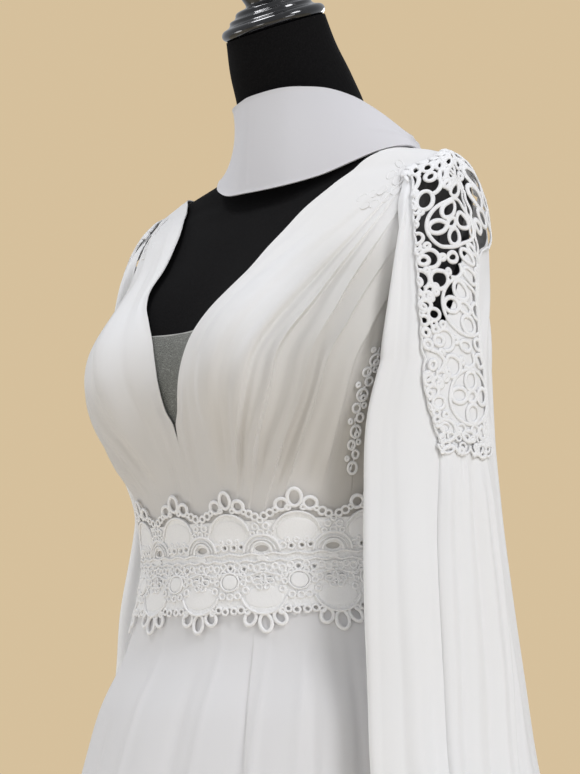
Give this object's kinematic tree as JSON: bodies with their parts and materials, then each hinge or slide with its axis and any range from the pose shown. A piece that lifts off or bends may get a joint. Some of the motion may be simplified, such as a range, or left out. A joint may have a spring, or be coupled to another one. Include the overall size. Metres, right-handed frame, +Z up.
{
  "type": "wedding dress on dress form",
  "caption": "Long wedding dress with a deep V neck, pleated bodice, lace waistband, throat band and loose lace-trimmed sleeves, on a limbless dress form with a round base.",
  "frame": {"origin": "centre of the underside of the form's round base, on the floor", "axes": "+Z up, -Y towards the front of the dress, +X towards the wearer's left"},
  "size_m": [0.8807, 0.8627, 1.6454],
  "materials": {
    "black_jersey": "matte knitted cover",
    "black_lacquer": "gloss",
    "white_chiffon": "soft matte chiffon over lining",
    "white_guipure": "matte corded lace",
    "grey_tulle": "sheer matte net"
  },
  "bodies": {
    "root": {"bodice_back_left": "white_chiffon", "bodice_back_right": "white_chiffon", "bodice_front_left": "white_chiffon", "bodice_front_right": "white_chiffon", "bodice_insert": "grey_tulle", "collar_band": "white_chiffon", "form_base": "black_lacquer", "form_neck_cap": "black_lacquer", "form_pole": "black_lacquer", "form_torso": "black_jersey", "side_lace_left": "white_guipure", "side_lace_right": "white_guipure", "skirt_back": "white_chiffon", "skirt_front": "white_chiffon", "sleeve_back_left": "white_chiffon", "sleeve_back_right": "white_chiffon", "sleeve_front_left": "white_chiffon", "sleeve_front_right": "white_chiffon", "sleeve_lace_left": "white_guipure", "sleeve_lace_right": "white_guipure", "sleeve_lower_left": "white_chiffon", "sleeve_lower_right": "white_chiffon", "waist_lace_back": "white_guipure", "waist_lace_front": "white_guipure"}
  },
  "joints": []
}
